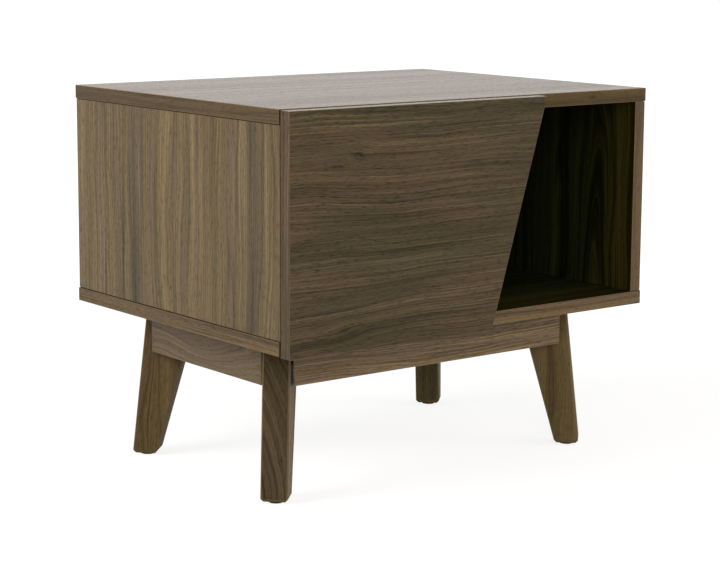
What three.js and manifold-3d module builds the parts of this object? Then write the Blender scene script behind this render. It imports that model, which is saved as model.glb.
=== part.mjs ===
// Side table with one drawer and an open cubby, in walnut veneer on four splayed plank legs.
// Millimetres, +Z up, X to the right of someone facing the drawer, the drawer opens towards -Y.
// The origin is on the floor, under the middle of the whole table.
import * as THREE from "three";
import { mergeVertices } from "three/addons/utils/BufferGeometryUtils.js";
import Module from "manifold-3d";

const wasm = await Module();
wasm.setup();

// ---- Case: two boards with two side panels, a divider and a back between them ----
const caseWidth = 610;
const caseDepth = 474;
const caseHeight = 296;
const boardThickness = 18;
const panelThickness = 18;
const panelStepIn = 1.5; // the side panels stand back from the board ends
const dividerThickness = 18;
const drawerBayWidth = 276.5; // free width between the left panel and the divider
const backThickness = 9;
const backRecess = 6; // from the back edges of the boards
const tongueThickness = 6; // tongues on the panels, grooves in the boards
const tongueHeight = 8;
const tongueStop = 30; // the grooves stop this far from the front and back edges
const edgeEase = 0.8;
const cornerToEase = 1.5; // the radius at a plate's corners, as a multiple of its edges' ease
const seatGap = 0.3; // between glued or seated faces

// ---- Drawer front: a slab over the left of the case, its right edge slanting ----
const frontThickness = 18;
const frontGap = 2.5; // shadow gap between the front and the case
const frontTopDrop = 1;
const frontBottomHang = 1;
const frontHeadWidth = 409;
const frontFootWidth = 320;

// ---- Drawer box ----
const boxWall = 12;
const boxLift = 16; // above the bottom board
const boxHeadroom = 54; // under the top board
const boxBackSpace = 31.2; // in front of the back panel
const boxFloorThickness = 6;
const boxFloorLift = 12; // above the lower edges of the walls
const boxGrooveDepth = 6;

// ---- Runners: three nested steel profiles on each side of the box ----
const runnerSpace = 12.7; // between the box and the bay's wall
const runnerSetback = 6; // behind the case's front edge
const runnerBackSpace = 53; // in front of the back panel
const runnerRise = 75; // of the runner's middle above the box's lower edge
const runnerHeight = 45;
const runnerSheet = 1.4;
const runnerPlay = 0.4; // between profiles that slide in each other
const caseMemberDepth = 9.5;
const middleWebStart = 5.6;
const middleFlangeStart = 3;
const drawerFlangeReach = 3.4;

// ---- Base: four aprons mitred against the sides of four plank legs ----
const legHeight = 203.5;
const legThickness = 35;
const legTopWidth = 68;
const legFootWidth = 34;
const legTopSetback = 14; // of the leg's outer edge, inside the frame's corner
const legFootSplay = 8; // of the leg's outer edge, outside the frame's corner
const legEase = 1.8;
const footChamfer = 4;
const footRise = 4.5;
const baseInsetSide = 48;
const baseInsetFront = 77;
const baseInsetBack = 81;
const apronHeight = 60;
const apronThickness = 18;
const apronSlit = 2.2; // open slit between an apron's mitred end and the leg
const cleatSize = 20;
const glideDiameter = 20;
const glideHeight = 2.5;
const glideChamfer = 0.8;
const glidePinDiameter = 3;
const glidePinLength = 14;

// ---- Corner brackets with a hanger bolt and a nut at each leg ----
const bracketSheet = 2;
const bracketHeight = 40;
const bracketDrop = 6; // under the case
const bracketClear = 3; // behind the widest part of the leg
const bracketFlange = 22;
const boltDiameter = 8;
const boltBite = 32; // inside the leg
const boltTail = 14; // behind the bracket
const nutFlats = 13;
const nutHeight = 6.5;

// ---- Screws and bumpers ----
const holePlay = 0.3; // all round a screw, bolt or pin
const boxScrewDiameter = 4;
const boxScrewHead = 8;
const boxScrewHeadHeight = 2.4;
const boxScrewBite = 12; // inside the drawer front
const boxScrewInset = 34; // from the inside corners of the box
const runnerScrewDiameter = 3.5;
const runnerScrewHead = 7;
const runnerScrewHeadHeight = 1.5;
const runnerScrewBite = 9;
const runnerScrewInset = 40; // from the ends of the runner
const panHeadCrown = 0.7; // the flat top of a screw's head, as a share of the head
const bumperDiameter = 8;
const bumperPlay = 0.25; // on either side of a bumper
const bumperInset = 24; // from the bay's floor and ceiling

// ---- Levels and planes that several pieces share ----
const caseBottom = legHeight + glideHeight;
const caseTop = caseBottom + caseHeight;
const bayFloor = caseBottom + boardThickness;
const bayCeiling = caseTop - boardThickness;
const caseLeft = -caseWidth / 2;
const caseRight = caseWidth / 2;
const wholeDepth = caseDepth + frontGap + frontThickness;
const caseBack = wholeDepth / 2;
const caseFront = caseBack - caseDepth;
const frontBackFace = caseFront - frontGap;
const frontFace = frontBackFace - frontThickness;
const leftPanelFace = caseLeft + panelStepIn + panelThickness; // inner faces of the side panels
const rightPanelFace = caseRight - panelStepIn - panelThickness;
const dividerLeft = leftPanelFace + drawerBayWidth;
const dividerRight = dividerLeft + dividerThickness;
const backFace = caseBack - backRecess;
const backInnerFace = backFace - backThickness;
const boxLeft = leftPanelFace + runnerSpace;
const boxRight = dividerLeft - runnerSpace;
const boxBottom = bayFloor + boxLift;
const boxTop = bayCeiling - boxHeadroom;
const boxFront = frontBackFace + seatGap;
const boxBack = backInnerFace - boxBackSpace;
const runnerMiddle = boxBottom + runnerRise;
const runnerFront = caseFront + runnerSetback;
const runnerBack = backInnerFace - runnerBackSpace;

const roundSegments = 16;
const glideSegments = 32;
const easeSegments = 2;

// ---- Finishes ----
const finish = (color, roughness, metalness = 0) => ({ color, roughness, metalness });
const walnutLight = finish(0x75664c, 0.45);
const walnutDark = finish(0x51432e, 0.5);
const walnutLeg = finish(0x5b4d36, 0.5);
const drawerPly = finish(0xb49a72, 0.6);
const steel = finish(0xa9abad, 0.35, 0.9);
const darkPlastic = finish(0x2b2b2b, 0.6);
const clearRubber = finish(0xc9c9c4, 0.4);

function piece(name, geometry, look) {
  const mesh = new THREE.Mesh(geometry, new THREE.MeshStandardMaterial(look));
  mesh.name = name;
  return mesh;
}

// ---- Solids ----

function toManifold(geometry) {
  const bare = geometry.clone();
  bare.deleteAttribute("normal");
  bare.deleteAttribute("uv");
  const merged = mergeVertices(bare);
  return new wasm.Manifold(
    new wasm.Mesh({
      numProp: 3,
      vertProperties: new Float32Array(merged.attributes.position.array),
      triVerts: new Uint32Array(merged.index.array),
    }),
  );
}

function fromManifold(solid) {
  const mesh = solid.getMesh();
  const geometry = new THREE.BufferGeometry();
  geometry.setAttribute("position", new THREE.BufferAttribute(new Float32Array(mesh.vertProperties), 3));
  geometry.setIndex(new THREE.BufferAttribute(new Uint32Array(mesh.triVerts), 1));
  geometry.computeVertexNormals();
  return geometry;
}

function cut(geometry, tools) {
  let solid = toManifold(geometry);
  for (const tool of tools) solid = solid.subtract(toManifold(tool));
  return fromManifold(solid);
}

function join(geometry, additions) {
  let solid = toManifold(geometry);
  for (const addition of additions) solid = solid.add(toManifold(addition));
  return fromManifold(solid);
}

function common(first, second) {
  return fromManifold(toManifold(first).intersect(toManifold(second)));
}

// A box between two values along each axis.
function block([x0, x1], [y0, y1], [z0, z1]) {
  const geometry = new THREE.BoxGeometry(x1 - x0, y1 - y0, z1 - z0);
  return geometry.translate((x0 + x1) / 2, (y0 + y1) / 2, (z0 + z1) / 2);
}

// An outline whose corners are rounded to a radius: each curve starts and ends where an arc would.
function roundedOutline(points, radius) {
  const shape = new THREE.Shape();
  points.forEach((corner, i) => {
    const before = points.at(i - 1).clone().sub(corner);
    const after = points[(i + 1) % points.length].clone().sub(corner);
    const reach = radius / Math.tan(before.angleTo(after) / 2);
    const enter = before.setLength(reach).add(corner);
    const leave = after.setLength(reach).add(corner);
    if (i === 0) shape.moveTo(enter.x, enter.y);
    else shape.lineTo(enter.x, enter.y);
    shape.quadraticCurveTo(corner.x, corner.y, leave.x, leave.y);
  });
  shape.closePath();
  return shape;
}

const X = new THREE.Vector3(1, 0, 0);
const Y = new THREE.Vector3(0, 1, 0);
const Z = new THREE.Vector3(0, 0, 1);

// How an outline drawn in a plane, and the thickness across it, lie along the axes.
const PLANES = {
  x: new THREE.Matrix4().makeBasis(Y, Z, X), // outline in Y and Z
  y: new THREE.Matrix4().makeBasis(X, Z, Y.clone().negate()), // outline in X and Z
  z: new THREE.Matrix4().makeBasis(X, Y, Z), // outline in X and Y
};

// A plate from its outline, between two values along the axis across it, with eased edges.
function plate(points, [low, high], across, ease = 0) {
  const thickness = high - low;
  const vectors = points.map((p) => new THREE.Vector2(...p));
  const shape = ease > 0 ? roundedOutline(vectors, ease * cornerToEase) : new THREE.Shape(vectors);
  const geometry = new THREE.ExtrudeGeometry(shape, {
    depth: thickness - 2 * ease,
    curveSegments: easeSegments,
    bevelEnabled: ease > 0,
    bevelThickness: ease,
    bevelSize: ease,
    bevelOffset: -ease,
    bevelSegments: easeSegments,
  });
  geometry.translate(0, 0, across === "y" ? ease - high : low + ease);
  return geometry.applyMatrix4(PLANES[across]);
}

// A rectangular board with eased edges, thin along one axis.
function board(spanX, spanY, spanZ, thin) {
  const faces = { x: [spanY, spanZ], y: [spanX, spanZ], z: [spanX, spanY] };
  const across = { x: spanX, y: spanY, z: spanZ }[thin];
  const [[a0, a1], [b0, b1]] = faces[thin];
  return plate([[a0, b0], [a1, b0], [a1, b1], [a0, b1]], across, thin, edgeEase);
}

// A cylinder along one axis: its middle in the other two, and its two ends.
function rod(diameter, along, [a, b], [low, high]) {
  const geometry = new THREE.CylinderGeometry(diameter / 2, diameter / 2, high - low, roundSegments);
  const middle = (low + high) / 2;
  if (along === "x") return geometry.rotateZ(Math.PI / 2).translate(middle, a, b);
  if (along === "y") return geometry.translate(a, middle, b);
  return geometry.rotateX(Math.PI / 2).translate(a, b, middle);
}

// A turned piece from the radius and the place along +Y of each point on its profile.
function turned(profile, segments) {
  return new THREE.LatheGeometry(profile.map((p) => new THREE.Vector2(...p)), segments);
}

// A pan-head screw: under its head at zero, the shank along +Y, the head along -Y.
function screw(diameter, length, headDiameter, headHeight) {
  const shank = diameter / 2;
  const head = headDiameter / 2;
  const profile = [
    [0, -headHeight],
    [head * panHeadCrown, -headHeight],
    [head, -headHeight / 2],
    [head, 0],
    [shank, 0],
    [shank, length - diameter],
    [0, length],
  ];
  return turned(profile, roundSegments);
}

// ---- Case ----

const leftPanelMiddle = leftPanelFace - panelThickness / 2;
const rightPanelMiddle = rightPanelFace + panelThickness / 2;
const dividerMiddle = (dividerLeft + dividerRight) / 2;
const tonguePlaces = [leftPanelMiddle, dividerMiddle, rightPanelMiddle];
const tongueSpanY = [caseFront + tongueStop, backInnerFace - tongueStop];

function tongueBlock(x, [z0, z1], play) {
  const half = tongueThickness / 2 + play;
  return block([x - half, x + half], [tongueSpanY[0] - play, tongueSpanY[1] + play], [z0, z1]);
}

// A full-width board with a stopped groove for each upright that it carries.
function caseBoard(name, [z0, z1], grooveSpan) {
  const slab = board([caseLeft, caseRight], [caseFront, caseBack], [z0, z1], "z");
  const grooves = tonguePlaces.map((x) => tongueBlock(x, grooveSpan, seatGap));
  return piece(name, cut(slab, grooves), walnutLight);
}

// A panel standing between the boards, with a tongue along its upper and its lower edge.
function upright(name, [x0, x1], [y0, y1], holes = []) {
  const low = bayFloor + seatGap;
  const high = bayCeiling - seatGap;
  const middle = (x0 + x1) / 2;
  const slab = board([x0, x1], [y0, y1], [low, high], "x");
  const lower = tongueBlock(middle, [bayFloor - tongueHeight, low + tongueHeight], 0);
  const upper = tongueBlock(middle, [high - tongueHeight, bayCeiling + tongueHeight], 0);
  return piece(name, cut(join(slab, [lower, upper]), holes), walnutLight);
}

function backPanel() {
  const spanX = [leftPanelFace + seatGap, rightPanelFace - seatGap];
  const spanZ = [bayFloor + seatGap, bayCeiling - seatGap];
  return piece("back_panel", board(spanX, [backInnerFace, backFace], spanZ, "y"), walnutDark);
}

// ---- Runners ----

// Each side of the bay: its wall, the direction from the wall to the box, and the box's face.
const SIDES = [
  { name: "left", wall: leftPanelFace, inward: 1 },
  { name: "right", wall: dividerLeft, inward: -1 },
];
const runnerScrewPlaces = [runnerFront + runnerScrewInset, runnerBack - runnerScrewInset];
const caseWebEnd = seatGap + runnerSheet;
const drawerWebEnd = runnerSpace - seatGap;
const drawerWebStart = drawerWebEnd - runnerSheet;
const caseHalf = runnerHeight / 2;
const middleHalf = caseHalf - runnerSheet - runnerPlay;
const drawerHalf = middleHalf - runnerSheet - runnerPlay;

// The lower half of each profile, from its web out to its flange and back. Distances run from the
// wall towards the box, and up from the runner's middle.
const RUNNER_HALVES = {
  case: [
    [seatGap, -caseHalf],
    [caseMemberDepth, -caseHalf],
    [caseMemberDepth, -caseHalf + runnerSheet],
    [caseWebEnd, -caseHalf + runnerSheet],
  ],
  middle: [
    [middleWebStart, -middleHalf + runnerSheet],
    [middleFlangeStart, -middleHalf + runnerSheet],
    [middleFlangeStart, -middleHalf],
    [caseMemberDepth, -middleHalf],
    [caseMemberDepth, -middleHalf + runnerSheet],
    [middleWebStart + runnerSheet, -middleHalf + runnerSheet],
  ],
  drawer: [
    [drawerWebStart, -drawerHalf + runnerSheet],
    [drawerWebStart - drawerFlangeReach, -drawerHalf + runnerSheet],
    [drawerWebStart - drawerFlangeReach, -drawerHalf],
    [drawerWebEnd, -drawerHalf],
  ],
};

// A whole profile: its lower half, then the same points mirrored, on the way back.
function runnerSection(member) {
  const lower = RUNNER_HALVES[member];
  const upper = lower.map(([u, v]) => [u, -v]).reverse();
  return [...lower, ...upper];
}

// The runner screws' holes, from one plane across X to another on either side of it.
function runnerHoles(from, to) {
  const diameter = runnerScrewDiameter + 2 * holePlay;
  const span = [Math.min(from, to), Math.max(from, to)];
  return runnerScrewPlaces.map((y) => rod(diameter, "x", [y, runnerMiddle], span));
}

function runnerMember(side, member) {
  const place = ([u, v]) => [side.wall + side.inward * u, runnerMiddle + v];
  const profile = plate(runnerSection(member).map(place), [runnerFront, runnerBack], "y");
  const name = `runner_${side.name}_${member}`;
  if (member === "middle") return piece(name, profile, steel);
  const holes = runnerHoles(side.wall, side.wall + side.inward * runnerSpace);
  return piece(name, cut(profile, holes), steel);
}

// A screw through a runner's web: into the bay's wall, or the other way into the box.
function runnerScrew(side, member, index) {
  const intoWall = member === "case";
  const seat = intoWall ? caseWebEnd + seatGap : drawerWebStart - seatGap;
  const way = intoWall ? -side.inward : side.inward;
  const length = runnerSheet + 2 * seatGap + runnerScrewBite;
  const shape = screw(runnerScrewDiameter, length, runnerScrewHead, runnerScrewHeadHeight);
  const mesh = piece(`runner_screw_${side.name}_${member}_${index + 1}`, shape, steel);
  mesh.position.set(side.wall + side.inward * seat, runnerScrewPlaces[index], runnerMiddle);
  mesh.rotation.z = (-way * Math.PI) / 2;
  return mesh;
}

// ---- Drawer ----

const boxScrewPlaces = [];
for (const z of [boxBottom + boxScrewInset, boxTop - boxScrewInset]) {
  for (const x of [boxLeft + boxWall + boxScrewInset, boxRight - boxWall - boxScrewInset]) {
    boxScrewPlaces.push([x, z]);
  }
}

function boxScrewHoles([y0, y1]) {
  return boxScrewPlaces.map((place) => rod(boxScrewDiameter + 2 * holePlay, "y", place, [y0, y1]));
}

function drawerFront() {
  const low = caseBottom - frontBottomHang;
  const high = caseTop - frontTopDrop;
  const outline = [
    [caseLeft, low],
    [caseLeft + frontFootWidth, low],
    [caseLeft + frontHeadWidth, high],
    [caseLeft, high],
  ];
  const slab = plate(outline, [frontFace, frontBackFace], "y", edgeEase);
  const holes = boxScrewHoles([frontBackFace - boxScrewBite - seatGap, frontBackFace + seatGap]);
  return piece("drawer_front", cut(slab, holes), walnutDark);
}

const boxFloorLow = boxBottom + boxFloorLift;
const boxFloorHigh = boxFloorLow + boxFloorThickness;
const boxGroove = [boxFloorLow - seatGap, boxFloorHigh + seatGap];

// A wall of the box in section: a groove for the floor opens on its inner face.
function boxWallSection(outer, inner) {
  const bottomOfGroove = inner + Math.sign(outer - inner) * boxGrooveDepth;
  return [
    [outer, boxBottom],
    [inner, boxBottom],
    [inner, boxGroove[0]],
    [bottomOfGroove, boxGroove[0]],
    [bottomOfGroove, boxGroove[1]],
    [inner, boxGroove[1]],
    [inner, boxTop],
    [outer, boxTop],
  ];
}

function boxSide(side) {
  const outer = side.wall + side.inward * runnerSpace;
  const inner = outer + side.inward * boxWall;
  const wall = plate(boxWallSection(outer, inner), [boxFront, boxBack], "y");
  const holes = runnerHoles(outer - side.inward * seatGap, outer + side.inward * runnerScrewBite);
  return piece(`drawer_side_${side.name}`, cut(wall, holes), drawerPly);
}

function boxEnd(name, outer, inner, holes) {
  const spanX = [boxLeft + boxWall + seatGap, boxRight - boxWall - seatGap];
  const wall = plate(boxWallSection(outer, inner), spanX, "x");
  return piece(name, holes.length > 0 ? cut(wall, holes) : wall, drawerPly);
}

function boxFloor() {
  const reach = boxWall - boxGrooveDepth + seatGap;
  const spanX = [boxLeft + reach, boxRight - reach];
  const spanY = [boxFront + reach, boxBack - reach];
  return piece("drawer_floor", block(spanX, spanY, [boxFloorLow, boxFloorHigh]), drawerPly);
}

function boxScrew([x, z], index) {
  const seat = boxFront + boxWall + seatGap;
  const length = seat - frontBackFace + boxScrewBite;
  const shape = screw(boxScrewDiameter, length, boxScrewHead, boxScrewHeadHeight);
  const mesh = piece(`drawer_front_screw_${index + 1}`, shape, steel);
  mesh.position.set(x, seat, z);
  mesh.rotation.z = Math.PI;
  return mesh;
}

// ---- Base ----

const frameFront = caseFront + baseInsetFront;
const frameBack = caseBack - baseInsetBack;
const frameLeft = caseLeft + baseInsetSide;
const frameRight = caseRight - baseInsetSide;
const frameWidth = frameRight - frameLeft;
const frameDepth = frameBack - frameFront;
const underCase = caseBottom - seatGap;

// The frame's corners, each turned so that an apron runs along its +X and the next along its +Y.
const CORNERS = [
  { name: "front_left", apron: "front", x: frameLeft, y: frameFront, turn: 0, length: frameWidth },
  { name: "front_right", apron: "right", x: frameRight, y: frameFront, turn: 1, length: frameDepth },
  { name: "back_right", apron: "back", x: frameRight, y: frameBack, turn: 2, length: frameWidth },
  { name: "back_left", apron: "left", x: frameLeft, y: frameBack, turn: 3, length: frameDepth },
];

const apronSetback = legThickness / Math.SQRT2 + apronSlit * Math.SQRT2;
const legInnerTop = legTopSetback + legTopWidth;
const legInnerFoot = legFootWidth - legFootSplay;
const footMiddle = (legInnerFoot - legFootSplay) / 2;
const boltLevel = caseBottom - bracketDrop - bracketHeight / 2;
const boltFraction = (underCase - boltLevel) / (underCase - glideHeight);
const legInnerAtBolt = legInnerTop + (legInnerFoot - legInnerTop) * boltFraction;
const bracketNear = legInnerTop + bracketClear;
const bracketFar = bracketNear + bracketSheet;
const boltHoleDiameter = boltDiameter + 2 * holePlay;
const boltStart = legInnerAtBolt - boltBite;
const boltEnd = bracketFar + boltTail;

function apron(corner) {
  const outline = [
    [apronSetback, 0],
    [corner.length - apronSetback, 0],
    [corner.length - apronSetback - apronThickness, apronThickness],
    [apronSetback + apronThickness, apronThickness],
  ];
  const shape = plate(outline, [caseBottom - apronHeight, underCase], "z", edgeEase);
  return piece(`apron_${corner.apron}`, shape, walnutLight);
}

// A plank that tapers to its foot, drawn from outside the corner towards the middle of the table.
function leg(corner) {
  const foot = glideHeight + seatGap;
  const face = [
    [legTopSetback, underCase],
    [-legFootSplay, foot + footRise],
    [footChamfer - legFootSplay, foot],
    [legInnerFoot - footChamfer, foot],
    [legInnerFoot, foot + footRise],
    [legInnerTop, underCase],
  ];
  const half = legThickness / 2;
  const side = [
    [-half, underCase + footRise],
    [-half, foot + footRise],
    [footChamfer - half, foot],
    [half - footChamfer, foot],
    [half, foot + footRise],
    [half, underCase + footRise],
  ];
  const plank = plate(face, [-half, half], "y", legEase);
  const shaped = common(plank, plate(side, [-legFootSplay - footRise, legInnerTop + footRise], "x"));
  const boltHole = rod(boltHoleDiameter, "x", [0, boltLevel], [boltStart - seatGap, bracketNear]);
  const pinTop = foot + glidePinLength + seatGap;
  const pinHole = rod(glidePinDiameter + 2 * holePlay, "z", [footMiddle, 0], [0, pinTop]);
  return piece(`leg_${corner.name}`, cut(shaped, [boltHole, pinHole]), walnutLeg);
}

// A round glide under the foot, in one with its pin.
function glide(corner) {
  const radius = glideDiameter / 2;
  const pin = glidePinDiameter / 2;
  const profile = [
    [0, 0],
    [radius - glideChamfer, 0],
    [radius, glideChamfer],
    [radius, glideHeight],
    [pin, glideHeight],
    [pin, glideHeight + glidePinLength],
    [0, glideHeight + glidePinLength],
  ];
  const shape = turned(profile, glideSegments).rotateX(Math.PI / 2);
  const mesh = piece(`glide_${corner.name}`, shape, darkPlastic);
  mesh.position.x = footMiddle;
  return mesh;
}

// A steel strip across the corner, its two ends bent to lie on the aprons.
function bracket(corner) {
  const near = apronThickness + seatGap;
  const far = near + bracketSheet;
  const nearBend = bracketNear * Math.SQRT2 - near;
  const farBend = bracketFar * Math.SQRT2 - far;
  const end = nearBend + bracketFlange;
  const outline = [
    [end, near],
    [nearBend, near],
    [near, nearBend],
    [near, end],
    [far, end],
    [far, farBend],
    [farBend, far],
    [end, far],
  ];
  const top = caseBottom - bracketDrop;
  const strip = plate(outline, [top - bracketHeight, top], "z");
  const hole = rod(boltHoleDiameter, "x", [0, boltLevel], [legInnerAtBolt, boltEnd]);
  return piece(`bracket_${corner.name}`, cut(strip, [hole.rotateZ(Math.PI / 4)]), steel);
}

function hangerBolt(corner) {
  const shape = rod(boltDiameter, "x", [0, boltLevel], [boltStart, boltEnd]);
  return piece(`hanger_bolt_${corner.name}`, shape, steel);
}

function nut(corner) {
  const radius = nutFlats / Math.sqrt(3); // to the points of the hexagon
  const hexagon = new THREE.CylinderGeometry(radius, radius, nutHeight, 6);
  const boreRadius = boltHoleDiameter / 2;
  const bore = new THREE.CylinderGeometry(boreRadius, boreRadius, 2 * nutHeight, roundSegments);
  const mesh = piece(`nut_${corner.name}`, cut(hexagon, [bore]), steel);
  mesh.rotation.z = Math.PI / 2;
  mesh.position.set(bracketFar + seatGap + nutHeight / 2, 0, boltLevel);
  return mesh;
}

// A batten inside the front or the back apron, that the case is screwed down to.
function cleat(corner) {
  const near = apronThickness + seatGap;
  const end = bracketNear * Math.SQRT2 - near + bracketFlange + bracketClear;
  const spanZ = [underCase - cleatSize, underCase];
  const shape = board([end, corner.length - end], [near, near + cleatSize], spanZ, "z");
  return piece(`cleat_${corner.apron}`, shape, drawerPly);
}

// ---- Bumpers on the case's front edges, where the drawer front comes to rest ----

function bumper(name, x, z) {
  const shape = rod(bumperDiameter, "y", [x, z], [frontBackFace + bumperPlay, caseFront - bumperPlay]);
  return piece(name, shape, clearRubber);
}

// ---- Assembly ----

const table = new THREE.Group();

// Holes for the runner screws in the upright that carries a side's runner.
function wallHoles({ wall, inward }) {
  return runnerHoles(wall + inward * seatGap, wall - inward * (runnerScrewBite + runnerSheet));
}

const [leftSide, rightSide] = SIDES;
const wholeSpanY = [caseFront, caseBack];
const dividerSpanY = [caseFront, backInnerFace - seatGap];
const topGroove = [bayCeiling - seatGap, bayCeiling + tongueHeight + seatGap];
const bottomGroove = [bayFloor - tongueHeight - seatGap, bayFloor + seatGap];

table.add(
  caseBoard("top_board", [bayCeiling, caseTop], topGroove),
  caseBoard("bottom_board", [caseBottom, bayFloor], bottomGroove),
  upright("side_panel_left", [caseLeft + panelStepIn, leftPanelFace], wholeSpanY, wallHoles(leftSide)),
  upright("side_panel_right", [rightPanelFace, caseRight - panelStepIn], wholeSpanY),
  upright("divider", [dividerLeft, dividerRight], dividerSpanY, wallHoles(rightSide)),
  backPanel(),
);

for (const [level, z] of [["lower", bayFloor + bumperInset], ["upper", bayCeiling - bumperInset]]) {
  table.add(bumper(`bumper_left_${level}`, leftPanelMiddle, z));
  table.add(bumper(`bumper_right_${level}`, dividerMiddle, z));
}

const drawer = new THREE.Group();
const boxFrontInner = boxFront + boxWall;
const boxFrontHoles = boxScrewHoles([frontBackFace, boxFrontInner + seatGap]);
drawer.add(
  drawerFront(),
  boxEnd("drawer_box_front", boxFront, boxFrontInner, boxFrontHoles),
  boxEnd("drawer_box_back", boxBack, boxBack - boxWall, []),
  boxFloor(),
  ...boxScrewPlaces.map(boxScrew),
);
for (const side of SIDES) {
  drawer.add(boxSide(side));
  for (const member of Object.keys(RUNNER_HALVES)) table.add(runnerMember(side, member));
  for (const member of ["case", "drawer"]) {
    runnerScrewPlaces.forEach((_, index) => table.add(runnerScrew(side, member, index)));
  }
}
table.add(drawer);

for (const corner of CORNERS) {
  const square = new THREE.Group(); // in line with the aprons
  square.position.set(corner.x, corner.y, 0);
  square.rotation.z = (corner.turn * Math.PI) / 2;
  const diagonal = new THREE.Group(); // in line with the leg
  diagonal.rotation.z = Math.PI / 4;
  diagonal.add(leg(corner), glide(corner), hangerBolt(corner), nut(corner));
  square.add(apron(corner), bracket(corner), diagonal);
  if (corner.length === frameWidth) square.add(cleat(corner));
  table.add(square);
}

export default table;
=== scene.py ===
# %% [markdown]
# # A side table with a drawer, in walnut veneer
#
# The real table is a veneered case on four splayed legs. Its left half holds a drawer whose
# front has a slanting edge, and its right half is an open cubby. Every wooden and metal
# part comes from the CAD model, already at its true size, so this script gives each part
# its finish, adds the small screws that hold the table together, and sets up a studio.

import math

import bpy
from mathutils import Matrix, Vector


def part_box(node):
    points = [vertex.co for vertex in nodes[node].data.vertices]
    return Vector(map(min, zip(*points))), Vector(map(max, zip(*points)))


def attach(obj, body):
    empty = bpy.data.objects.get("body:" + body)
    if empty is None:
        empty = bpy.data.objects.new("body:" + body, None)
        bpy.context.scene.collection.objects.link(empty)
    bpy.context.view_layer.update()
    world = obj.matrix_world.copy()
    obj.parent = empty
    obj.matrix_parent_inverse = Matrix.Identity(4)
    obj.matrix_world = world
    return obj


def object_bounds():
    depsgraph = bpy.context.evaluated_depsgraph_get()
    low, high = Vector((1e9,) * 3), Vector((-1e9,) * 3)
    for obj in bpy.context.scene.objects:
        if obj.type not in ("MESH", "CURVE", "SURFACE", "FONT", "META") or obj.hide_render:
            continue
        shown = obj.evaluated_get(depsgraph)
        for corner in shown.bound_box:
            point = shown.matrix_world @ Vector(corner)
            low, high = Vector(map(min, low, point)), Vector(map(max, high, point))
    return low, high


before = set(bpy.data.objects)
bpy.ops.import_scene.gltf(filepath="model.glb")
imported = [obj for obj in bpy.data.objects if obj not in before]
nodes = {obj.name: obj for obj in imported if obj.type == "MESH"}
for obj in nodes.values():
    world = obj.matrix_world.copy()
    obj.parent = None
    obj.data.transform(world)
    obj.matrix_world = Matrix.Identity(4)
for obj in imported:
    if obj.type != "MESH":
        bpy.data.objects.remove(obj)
cad_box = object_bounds()
print("CAD nodes:", len(nodes), "box:", [round(v, 4) for corner in cad_box for v in corner])

# %% [markdown]
# ## The camera
#
# The table is seen from its left front corner, a little above the top. The camera stands
# nearly three metres away, and a long lens keeps the sides of the case nearly parallel.
# A small downward shift does a little of the same for its upright edges, as a view camera
# with a lowered front does. The camera turns first about its own line of sight, then up
# or down, and last about the vertical, so its matrix is built from three rotations.

# %% Camera
EYE = (-1.6649, -2.1301, 0.7013)
HEADING = 37.887
PITCH = -9.261
ROLL = 0.314
LENS = 100.11
SHIFT = -0.03


def aim_camera(place, heading, pitch, roll, lens, shift):
    """A camera that looks along heading, in degrees from +Y towards +X."""
    data = bpy.data.cameras.new("studio_camera")
    camera = bpy.data.objects.new("studio_camera", data)
    bpy.context.scene.collection.objects.link(camera)
    data.lens = lens
    data.shift_y = shift
    turns = [(-heading, "Z"), (90 + pitch, "X"), (roll, "Z")]
    matrix = Matrix.Translation(place)
    for angle, axis in turns:
        matrix = matrix @ Matrix.Rotation(math.radians(angle), 4, axis)
    camera.matrix_world = matrix
    bpy.context.scene.camera = camera
    return camera


camera = aim_camera(EYE, HEADING, PITCH, ROLL, LENS, SHIFT)
print("lens:", LENS, "mm on a sensor of", camera.data.sensor_width, "mm")
print("distance:", round(Vector(EYE).length, 2), "m from the middle of the floor")

# %% [markdown]
# ## Small helpers for shader nodes
#
# A material is a graph of nodes. Writing one by hand repeats the same three steps, which
# are to add a node, set it, and link its inputs, so one helper does all three. A feed may
# be another node's output, a plain value, or None to leave that input as it is.


# %% Node helpers
def add(tree, kind, *feeds, **settings):
    """A new node with its settings, and its first inputs fed in order."""
    made = tree.nodes.new("ShaderNode" + kind)
    for key, value in settings.items():
        setattr(made, key, value)
    for socket, feed in zip(made.inputs, feeds):
        connect(tree, feed, socket)
    return made


def connect(tree, feed, socket):
    """Links another node's output to a socket, or sets the socket to a plain value."""
    if isinstance(feed, bpy.types.NodeSocket):
        tree.links.new(feed, socket)
    elif feed is not None:
        socket.default_value = feed


def calc(tree, operation, *feeds, clamp=False):
    """Arithmetic on plain values."""
    return add(tree, "Math", *feeds, operation=operation, use_clamp=clamp).outputs[0]


def along_vectors(tree, operation, *feeds):
    """Arithmetic on vectors. A dot product comes out as a plain value."""
    made = add(tree, "VectorMath", *feeds, operation=operation)
    return made.outputs["Value" if operation == "DOT_PRODUCT" else "Vector"]


def fade(tree, value, low, high, to_low=0.0, to_high=1.0):
    """A value that goes smoothly from to_low to to_high between low and high."""
    feeds = (value, low, high, to_low, to_high)
    return add(tree, "MapRange", *feeds, interpolation_type="SMOOTHSTEP").outputs[0]


# A Mix node has two inputs and one output for each kind of data.
MIX_SOCKETS = {"FLOAT": (2, 3, 0), "VECTOR": (4, 5, 1), "RGBA": (6, 7, 2)}


def mixed(tree, factor, first, second, blend="MIX", kind="RGBA"):
    """One colour, vector or value mixed into another."""
    made = add(tree, "Mix", data_type=kind, blend_type=blend)
    from_first, from_second, result = MIX_SOCKETS[kind]
    connect(tree, factor, made.inputs["Factor"])
    connect(tree, first, made.inputs[from_first])
    connect(tree, second, made.inputs[from_second])
    return made.outputs[result]


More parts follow.
